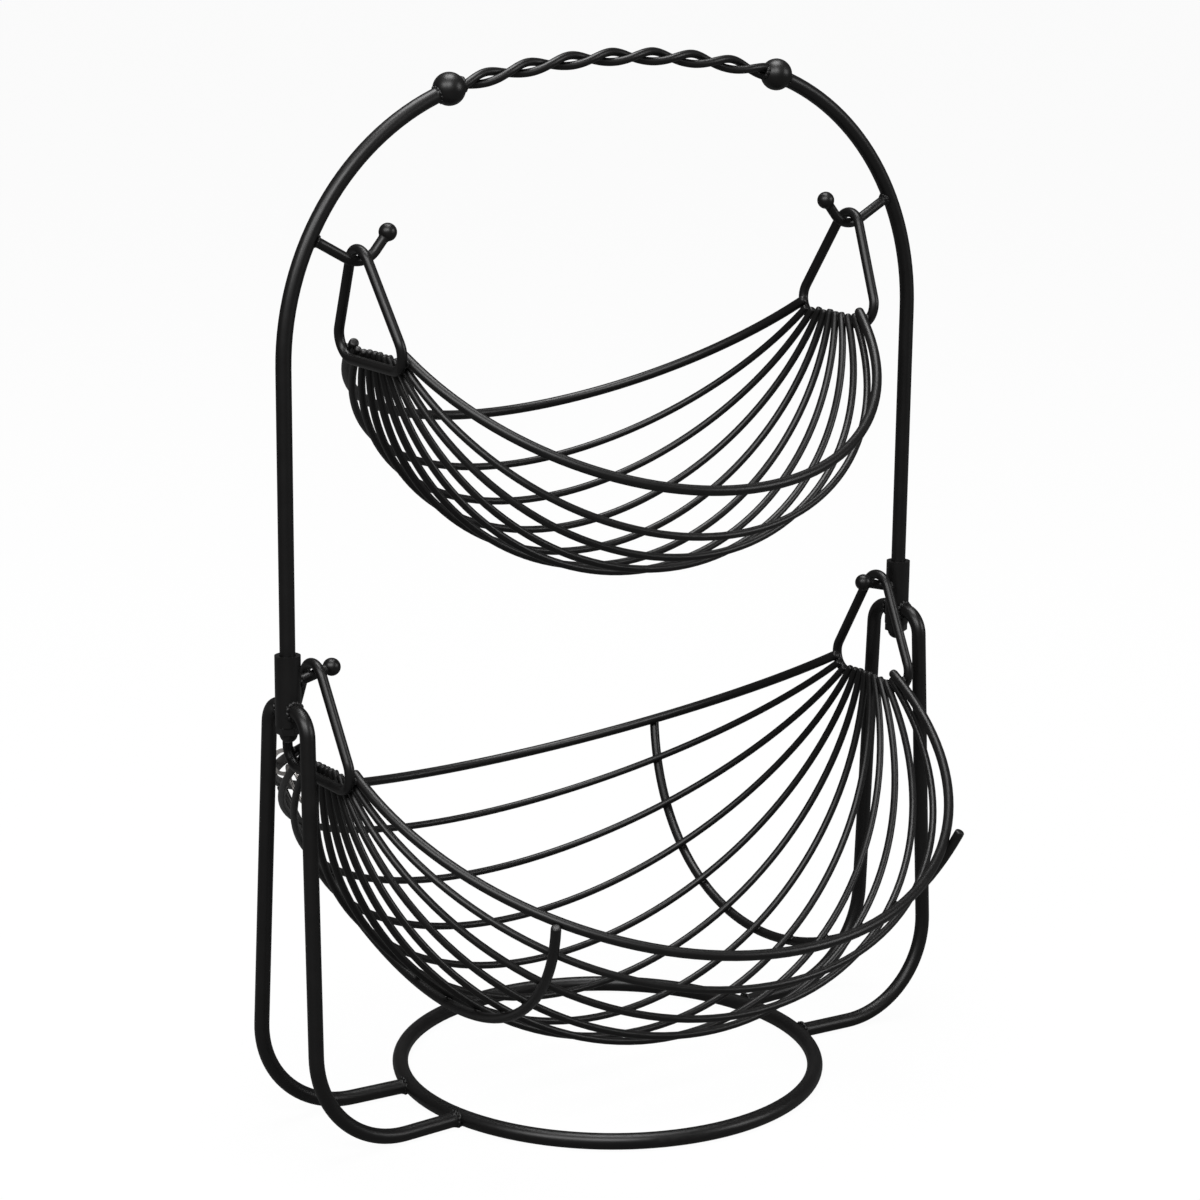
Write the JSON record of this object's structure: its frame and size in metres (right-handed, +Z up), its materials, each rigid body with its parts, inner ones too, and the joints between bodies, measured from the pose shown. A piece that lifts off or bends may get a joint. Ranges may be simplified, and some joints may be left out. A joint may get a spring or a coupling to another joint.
{
  "type": "tiered wire basket",
  "caption": "Free-standing tiered wire basket: hammock-shaped baskets of bent ribs hang one above the other from hooks on an arch with a twisted carrying handle over a ring base.",
  "frame": {"origin": "on the floor below the middle of the stand", "axes": "+X from the left sleeve to the right one, -Y is the front, +Z is up"},
  "size_m": [0.308, 0.274, 0.4199],
  "materials": {
    "black_coat": "satin black powder coat on steel wire",
    "bright_steel": "bright nickel-plated spring steel"
  },
  "bodies": {
    "stand": {"arch_leg_left": "black_coat", "arch_leg_right": "black_coat", "arch_screw_left": "black_coat", "arch_screw_right": "black_coat", "base_ring": "black_coat", "handle_bead_left": "black_coat", "handle_bead_right": "black_coat", "handle_strand_a": "black_coat", "handle_strand_b": "black_coat", "leg_back_left": "black_coat", "leg_back_right": "black_coat", "leg_front_left": "black_coat", "leg_front_right": "black_coat", "lower_ball_left": "black_coat", "lower_ball_right": "black_coat", "lower_hook_left": "black_coat", "lower_hook_right": "black_coat", "sleeve_left": "black_coat", "sleeve_right": "black_coat", "upper_ball_left": "black_coat", "upper_ball_right": "black_coat", "upper_hook_left": "black_coat", "upper_hook_right": "black_coat"},
    "upper_basket": {"upper_hanger_left": "black_coat", "upper_hanger_right": "black_coat", "upper_rib_1": "black_coat", "upper_rib_2": "black_coat", "upper_rib_3": "black_coat", "upper_rib_4": "black_coat", "upper_rib_5": "black_coat", "upper_rib_6": "black_coat", "upper_rib_7": "black_coat", "upper_rib_8": "black_coat", "upper_rib_9": "black_coat", "upper_rim_back": "black_coat", "upper_rim_front": "black_coat"},
    "lower_basket": {"cradle_wire_left": "black_coat", "cradle_wire_right": "black_coat", "lower_hanger_left": "black_coat", "lower_hanger_right": "black_coat", "lower_rib_1": "black_coat", "lower_rib_10": "black_coat", "lower_rib_11": "black_coat", "lower_rib_2": "black_coat", "lower_rib_3": "black_coat", "lower_rib_4": "black_coat", "lower_rib_5": "black_coat", "lower_rib_6": "black_coat", "lower_rib_7": "black_coat", "lower_rib_8": "black_coat", "lower_rib_9": "black_coat", "lower_rim_back": "black_coat", "lower_rim_front": "black_coat"},
    "small_ring": {"small_split_ring": "bright_steel"},
    "large_ring": {"large_split_ring": "bright_steel"}
  },
  "joints": [
    {"name": "upper_swing", "type": "hinge", "parent": "stand", "child": "upper_basket", "pos_m": [0, 0, 0.34504], "axis": [1, 0, 0], "range_deg": [-30, 30]},
    {"name": "lower_swing", "type": "hinge", "parent": "stand", "child": "lower_basket", "pos_m": [0, 0, 0.18874], "axis": [1, 0, 0], "range_deg": [-30, 30]},
    {"name": "small_ring_swing", "type": "hinge", "parent": "lower_basket", "child": "small_ring", "pos_m": [-0.12914, 0.04296, 0.1419], "axis": [0.2126, 0.8646, -0.4552], "range_deg": [-18, 1]},
    {"name": "large_ring_swing", "type": "hinge", "parent": "small_ring", "child": "large_ring", "pos_m": [-0.12508, 0.04079, 0.1384], "axis": [0.7409, -0.0897, 0.6656], "range_deg": [-4, 8]}
  ]
}
